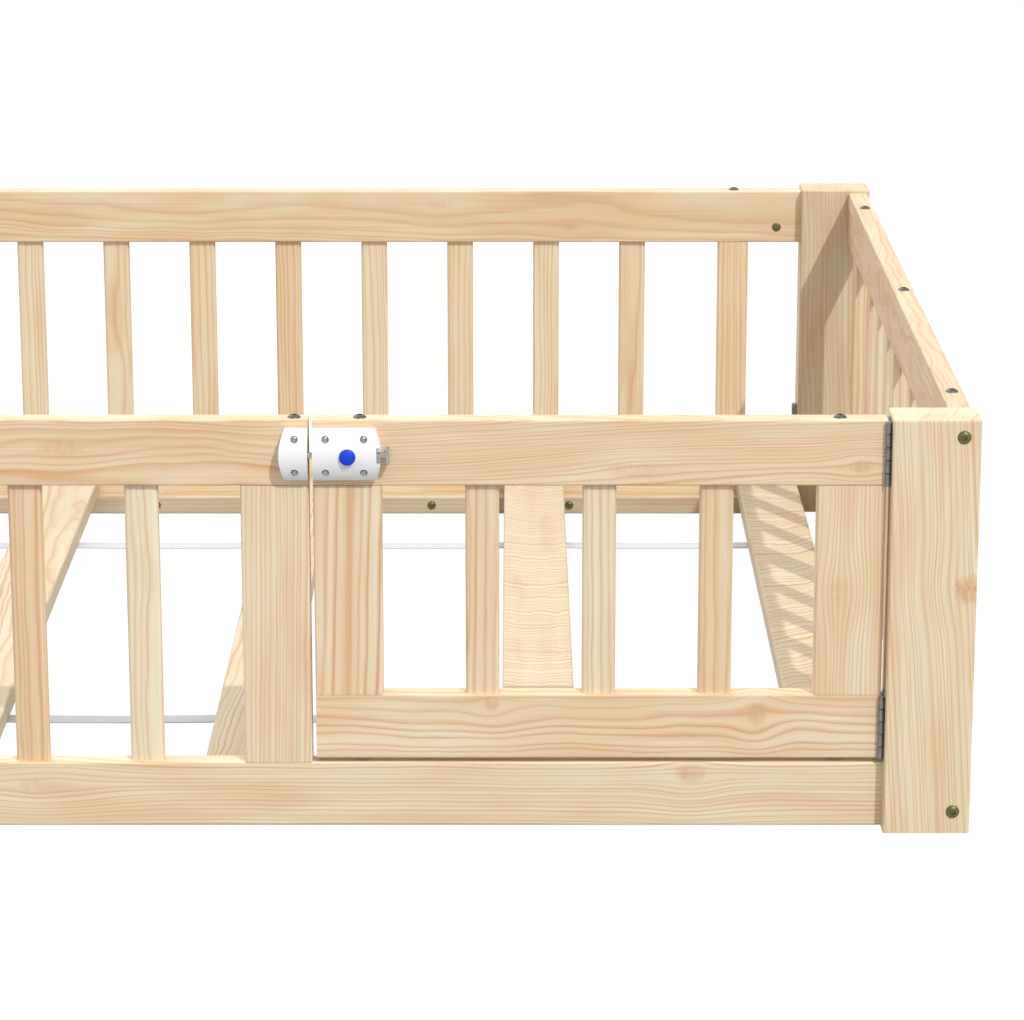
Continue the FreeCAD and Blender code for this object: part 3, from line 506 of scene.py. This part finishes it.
class PineLook(bpy.types.PropertyGroup):
    """Colours of the pine."""

    spring_wood: colour_setting("Spring wood", "The palest band of a growth ring", (240, 228, 200))
    body_wood: colour_setting("Body", "The wood's usual colour", (226, 204, 169))
    summer_wood: colour_setting("Summer wood", "The dark line of a growth ring", (213, 164, 119))
    peach_wood: colour_setting("Blush", "A tint over warmer patches", (252, 240, 234))
    knot_light: colour_setting("Knot, light", "The paler wood of a knot", (226, 184, 144))
    knot_dark: colour_setting("Knot, dark", "The darker wood of a knot", (196, 142, 98))


class MetalLook(bpy.types.PropertyGroup):
    """Colours of the bolts, screws and hinges."""

    bronze: colour_setting(
        "Bronze plate", "Post bolts, barrel nuts and ledger screws", (108, 104, 74)
    )
    dark: colour_setting("Dark plate", "Bolts in the rails' tops", (98, 98, 94))
    zinc: colour_setting("Zinc", "Hinges, latch rod, screws and staples", (168, 168, 168))


class LatchLook(bpy.types.PropertyGroup):
    """Colours of the latch."""

    case: colour_setting("Case", "The latch's moulded case", (244, 244, 246))
    button: colour_setting("Button", "The push button", (2, 64, 212))


class WebbingLook(bpy.types.PropertyGroup):
    """The webbing under the slats."""

    tape: colour_setting("Tape", "The webbing's yarn", (213, 214, 221))
    sag: bpy.props.FloatProperty(
        name="Sag", description="How far the webbing hangs between two slats",
        default=0.0007, min=0.0, max=0.002, unit="LENGTH",
    )
    yarn: bpy.props.FloatProperty(
        name="Yarn", description="The spacing of the weave's yarns",
        default=0.0011, min=0.0003, max=0.003, unit="LENGTH",
    )


class StudioLook(bpy.types.PropertyGroup):
    """The camera, the lamps and the floor."""

    sun: bpy.props.FloatProperty(
        name="Key light", description="The strength of the key light", default=2.05, min=0.0,
        max=20.0,
    )
    sky: bpy.props.FloatProperty(
        name="Sky", description="The strength of the light from all round", default=0.88, min=0.0,
        max=5.0,
    )
    fill: bpy.props.FloatProperty(
        name="Fill light", description="The strength of the soft light from behind", default=1.2,
        min=0.0, max=20.0,
    )
    lens: bpy.props.FloatProperty(
        name="Lens", description="The camera's focal length in millimetres", default=133.59,
        min=20.0, max=300.0,
    )


# ---- Other finishes ----
def steel(name, colour, rough, metallic=0.9):
    """Plated steel with faint wear."""
    shader = Shader(name)
    point = shader.place()
    fine = shader.speckle(point, 1.7, 3.0)
    wear = shader.speckle(point, 0.22, 2.0)
    bright = opaque(min(1.0, value * 1.25 + 0.02) for value in colour)
    stops = [(0.3, opaque(colour, 0.72)), (0.52, opaque(colour)), (0.75, bright)]
    base = shader.add("ShaderNodeValToRGB", {"stops": stops}, {0: fine * 0.4 + wear * 0.6})
    return shader.coat(
        {"Base Color": base, "Metallic": metallic, "Roughness": rough + (fine - 0.5) * 0.15},
        height=fine, bump=0.12, depth=0.0001,
    )


def moulded(name, colour, rough=0.28, coat=0.25):
    """Injection-moulded plastic with a faint texture."""
    shader = Shader(name)
    point = shader.place()
    grain = shader.speckle(point, 2.4, 2.0)
    cloud = shader.speckle(point, 0.06, 2.0)
    base = shader.blend(cloud, opaque(colour, 0.93), opaque(colour))
    return shader.coat(
        {
            "Base Color": base, "Roughness": rough + (grain - 0.5) * 0.12,
            "Coat Weight": coat, "Coat Roughness": 0.12, "Specular IOR Level": 0.35,
        },
        height=grain, bump=0.08, depth=0.0001,
    )


def webbing(name, look):
    """Woven tape: warp yarns along the bed over weft yarns across it, with painted shade between
    the yarns.
    """
    shader = Shader(name)
    point = x, y, z = shader.place()
    step = look.yarn * MILLIMETRES
    warp = (y * (math.pi / step)).maths("SINE")
    weft = (x * (math.pi / step)).maths("SINE")
    over = abs(warp * weft)
    # Painted shade in the furrows between the yarns, where the tape darkens to 0.78 of its colour.
    furrow_shade = 1.0 - abs(warp) * 0.5 - abs(weft) * 0.5
    fuzz = shader.speckle(point, 3.0, 3.0)
    base = shader.blend(furrow_shade * 0.8 + fuzz * 0.2, opaque(look.tape), opaque(look.tape, 0.78))
    return shader.coat(
        {"Base Color": base, "Roughness": 0.78 + fuzz * 0.1, "Specular IOR Level": 0.25,
         "Sheen Weight": 0.15},
        height=over + fuzz * 0.15, bump=0.6, depth=0.0002,
    )


def dress(node, material):
    """Gives a CAD node its material."""
    mesh = NODES[node].data
    mesh.materials.clear()
    mesh.materials.append(material)


# ---- Operators ----
class Dressing(bpy.types.Operator):
    """Shared ground of the operators that give each board of a group its own pine."""

    bl_options = {"REGISTER", "UNDO"}
    boards = {}

    def execute(self, context):
        for node, board in self.boards.items():
            dress(node, pine(node, board, context.scene.bed_pine))
        return {"FINISHED"}


class BED_OT_posts(Dressing):
    """Finish the four posts in pine"""

    bl_idname = "bed.posts"
    bl_label = "Posts"
    boards = POSTS


class BED_OT_rails(Dressing):
    """Finish the long rails and the end rails in pine"""

    bl_idname = "bed.rails"
    bl_label = "Rails"
    boards = {**LONG_RAILS, **END_RAILS}


class BED_OT_uprights(Dressing):
    """Finish the bars and the wide uprights in pine"""

    bl_idname = "bed.uprights"
    bl_label = "Bars and uprights"
    boards = {**STILES, **BAR_ROWS, **END_UPRIGHTS}


class BED_OT_deck(Dressing):
    """Finish the ledgers and the slats in pine"""

    bl_idname = "bed.deck"
    bl_label = "Slats and ledgers"
    boards = DECK


class BED_OT_gate(Dressing):
    """Finish the gate's boards in pine"""

    bl_idname = "bed.gate"
    bl_label = "Gate"
    boards = GATE_BOARDS


def woven_strap(name, node, look):
    """A webbing strap that hangs slightly between the slats, with rounded selvedges."""
    low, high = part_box(node)
    size = high - low
    shape = bmesh.new()
    bmesh.ops.create_cube(shape, size=1.0)
    bmesh.ops.scale(shape, verts=shape.verts, vec=size)
    bmesh.ops.translate(shape, verts=shape.verts, vec=(low + high) / 2)
    long_edges = [e for e in shape.edges if abs(e.verts[0].co.x - e.verts[1].co.x) > size.x / 2]
    bmesh.ops.bevel(
        shape, geom=long_edges, offset=size.z * 0.3, segments=2, profile=0.5, affect="EDGES",
        material=-1,
    )
    slats = [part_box(f"slat_{number}") for number in range(1, len(SLAT_CUTS) + 1)]
    spans = [(left[1].x, right[0].x) for left, right in zip(slats, slats[1:])]
    cuts = 8
    for start, end in spans:
        for step in range(cuts + 1):
            place = start + (end - start) * step / cuts
            bmesh.ops.bisect_plane(
                shape, geom=[*shape.verts, *shape.edges, *shape.faces],
                plane_co=(place, 0, 0), plane_no=(1, 0, 0),
            )
    for vert in shape.verts:
        for start, end in spans:
            share = (vert.co.x - start) / (end - start)
            if 0 < share < 1:
                vert.co.z -= look.sag * 4 * share * (1 - share)
    mesh = bpy.data.meshes.new(name)
    shape.to_mesh(mesh)
    shape.free()
    for polygon in mesh.polygons:
        polygon.use_smooth = True
    strap = bpy.data.objects.new(name, mesh)
    bpy.context.scene.collection.objects.link(strap)
    return strap


class BED_OT_straps(bpy.types.Operator):
    """Weave the two straps that hold the slats apart"""

    bl_idname = "bed.straps"
    bl_label = "Straps"
    bl_options = {"REGISTER", "UNDO"}

    def execute(self, context):
        look = context.scene.bed_webbing
        material = webbing("woven_tape", look)
        for node in ("front_strap", "back_strap"):
            strap = woven_strap(f"{node}_webbing", node, look)
            strap.data.materials.append(material)
            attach(strap, "bed")
            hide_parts(node)
        return {"FINISHED"}


class BED_OT_fasteners(bpy.types.Operator):
    """Finish the bolts, barrel nuts, screws and staples"""

    bl_idname = "bed.fasteners"
    bl_label = "Fasteners"
    bl_options = {"REGISTER", "UNDO"}

    def execute(self, context):
        look = context.scene.bed_metal
        bronze = steel("bronze_plate", look.bronze, rough=0.42, metallic=0.7)
        dark = steel("dark_plate", look.dark, rough=0.36, metallic=0.8)
        zinc = steel("bright_zinc", look.zinc, rough=0.3)
        for node in ("post_bolts", "barrel_nuts", "ledger_screws"):
            dress(node, bronze)
        for node in ("stile_bolts", "gate_stile_bolts"):
            dress(node, dark)
        for node in ("strap_staples", "keeper_screws", "housing_screws"):
            dress(node, zinc)
        return {"FINISHED"}


class BED_OT_hinges(bpy.types.Operator):
    """Finish the gate's butt hinges and the small steel stop block"""

    bl_idname = "bed.hinges"
    bl_label = "Hinges"
    bl_options = {"REGISTER", "UNDO"}

    def execute(self, context):
        zinc = context.scene.bed_metal.zinc
        leaf = steel("hinge_zinc", [value * 0.55 for value in zinc], rough=0.4)
        pin = steel("pin_zinc", zinc, rough=0.25)
        for node in ("hinge_post_leaves", "hinge_gate_leaves", "post_stop_block"):
            dress(node, leaf)
        for node in ("hinge_pins", "post_hinge_screws", "gate_hinge_screws"):
            dress(node, pin)
        return {"FINISHED"}


def coils(name, node):
    """The springs behind the push button, copied from the CAD part and attached to the gate."""
    springs = bpy.data.objects.new(name, NODES[node].data.copy())
    springs.matrix_world = NODES[node].matrix_world.copy()
    bpy.context.scene.collection.objects.link(springs)
    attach(springs, "gate")
    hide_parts(node)
    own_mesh(springs)


class BED_OT_latch(bpy.types.Operator):
    """Finish the latch: its case, rod, pull, push button and springs"""

    bl_idname = "bed.latch"
    bl_label = "Latch"
    bl_options = {"REGISTER", "UNDO"}

    def execute(self, context):
        look = context.scene.bed_latch
        case = moulded("white_case", look.case)
        blue = moulded("blue_button", look.button, rough=0.4, coat=0.0)
        rod = steel("latch_steel", context.scene.bed_metal.zinc, rough=0.24)
        for node in ("latch_keeper", "latch_housing", "latch_back_plate"):
            dress(node, case)
        dress("latch_button", blue)
        for node in ("latch_rod", "latch_pull", "button_springs"):
            dress(node, rod)
        coils("button_coils", "button_springs")
        return {"FINISHED"}


def sun(name, place, spread, strength):
    """A sun whose light comes from a place to the middle of the floor."""
    data = bpy.data.lights.new(name, "SUN")
    data.energy = strength
    data.angle = spread
    thing = bpy.data.objects.new(name, data)
    thing.location = place
    thing.rotation_euler = (-Vector(place)).to_track_quat("-Z", "Y").to_euler()
    bpy.context.scene.collection.objects.link(thing)


# The camera that was fitted to the photo's view.
CAMERA_PLACE = (0.68785, -3.28716, 1.03118)
CAMERA_TILT = 0.268430  # radians below the horizon
KEY_PLACE = (1.86, -3.16, 4.0)
KEY_SPREAD = math.radians(0.9)
FILL_PLACE = (-2.5, 3.0, 3.0)
FILL_SPREAD = math.radians(70)
FLOOR_SIZE = 14.0
FLOOR_DROP = 0.0005  # keeps the floor clear of the posts' lower faces
FLOOR_BOUNCE = (0.25, 0.25, 0.25, 1)  # what it throws back at the bed
FLOOR_MATTE = (0.10, 0.10, 0.10, 1)  # how far a shadow darkens it where it is seen
FLOOR_GLOW = 0.95


class BED_OT_studio(bpy.types.Operator):
    """Set up the floor, the lamps, the world and the camera"""

    bl_idname = "bed.studio"
    bl_label = "Studio"
    bl_options = {"REGISTER", "UNDO"}

    def execute(self, context):
        look = context.scene.bed_studio
        scene = context.scene
        floor_shape = bmesh.new()
        bmesh.ops.create_grid(floor_shape, x_segments=1, y_segments=1, size=FLOOR_SIZE)
        mesh = bpy.data.meshes.new("floor")
        floor_shape.to_mesh(mesh)
        floor_shape.free()
        floor = bpy.data.objects.new("floor", mesh)
        floor.location = (0, 0, -FLOOR_DROP)
        scene.collection.objects.link(floor)
        mesh.materials.append(self.pale_floor())

        sun("key_light", KEY_PLACE, KEY_SPREAD, look.sun)
        sun("fill_light", FILL_PLACE, FILL_SPREAD, look.fill)
        self.sky(scene, look.sky)

        camera = bpy.data.cameras.new("camera")
        camera.lens = look.lens
        camera.sensor_width = 36.0
        camera.clip_end = 60.0
        thing = bpy.data.objects.new("camera", camera)
        thing.location = CAMERA_PLACE
        thing.rotation_euler = (math.radians(90) - CAMERA_TILT, 0, 0)
        scene.collection.objects.link(thing)
        scene.camera = thing
        scene.view_settings.view_transform = "Standard"
        return {"FINISHED"}

    def pale_floor(self):
        """A floor that shows as white and keeps a faint shadow of the bed."""
        shader = Shader("pale_floor")
        bounce = shader.add("ShaderNodeBsdfDiffuse", None, {"Color": FLOOR_BOUNCE})
        matte = shader.add("ShaderNodeBsdfDiffuse", None, {"Color": FLOOR_MATTE})
        glow = shader.add("ShaderNodeEmission", None, {"Color": WHITE, "Strength": FLOOR_GLOW})
        white = shader.add("ShaderNodeAddShader", None, {0: matte, 1: glow})
        mixed = shader.add("ShaderNodeMixShader", None, {0: shader.seen(), 1: bounce, 2: white})
        return shader.finish(mixed)

    def sky(self, scene, strength):
        """An even world, white where it is seen."""
        world = bpy.data.worlds.new("studio")
        scene.world = world
        world.use_nodes = True
        tree = Tree(world.node_tree)
        dim = tree.add("ShaderNodeBackground", None, {"Color": WHITE, "Strength": strength})
        white = tree.add("ShaderNodeBackground", None, {"Color": WHITE, "Strength": 1.0})
        mixed = tree.add("ShaderNodeMixShader", None, {0: tree.seen(), 1: dim, 2: white})
        tree.end(mixed, "ShaderNodeOutputWorld")


OPERATORS = (
    BED_OT_posts, BED_OT_rails, BED_OT_uprights, BED_OT_deck, BED_OT_gate, BED_OT_straps,
    BED_OT_fasteners, BED_OT_hinges, BED_OT_latch, BED_OT_studio,
)
SETTINGS = {
    "bed_pine": PineLook,
    "bed_metal": MetalLook,
    "bed_latch": LatchLook,
    "bed_webbing": WebbingLook,
    "bed_studio": StudioLook,
}


class BED_PT_sidebar(bpy.types.Panel):
    """The bed's pieces and the studio, in the 3D view's sidebar"""

    bl_idname = "BED_PT_sidebar"
    bl_label = "Floor Bed"
    bl_space_type = "VIEW_3D"
    bl_region_type = "UI"
    bl_category = "Floor Bed"

    def draw(self, context):
        for operator in OPERATORS:
            self.layout.operator(operator.bl_idname)
        for name in SETTINGS:
            box = self.layout.box()
            group = getattr(context.scene, name)
            for key in group.__annotations__:
                box.prop(group, key)


def register():
    for group in SETTINGS.values():
        bpy.utils.register_class(group)
    for name, group in SETTINGS.items():
        setattr(bpy.types.Scene, name, bpy.props.PointerProperty(type=group))
    for operator in OPERATORS:
        bpy.utils.register_class(operator)
    bpy.utils.register_class(BED_PT_sidebar)


def unregister():
    bpy.utils.unregister_class(BED_PT_sidebar)
    for operator in reversed(OPERATORS):
        bpy.utils.unregister_class(operator)
    for name, group in SETTINGS.items():
        delattr(bpy.types.Scene, name)
        bpy.utils.unregister_class(group)


def main():
    """Builds the whole scene."""
    register()
    for operator in OPERATORS:
        group, name = operator.bl_idname.split(".")
        getattr(getattr(bpy.ops, group), name)()


if __name__ == "__main__":
    main()
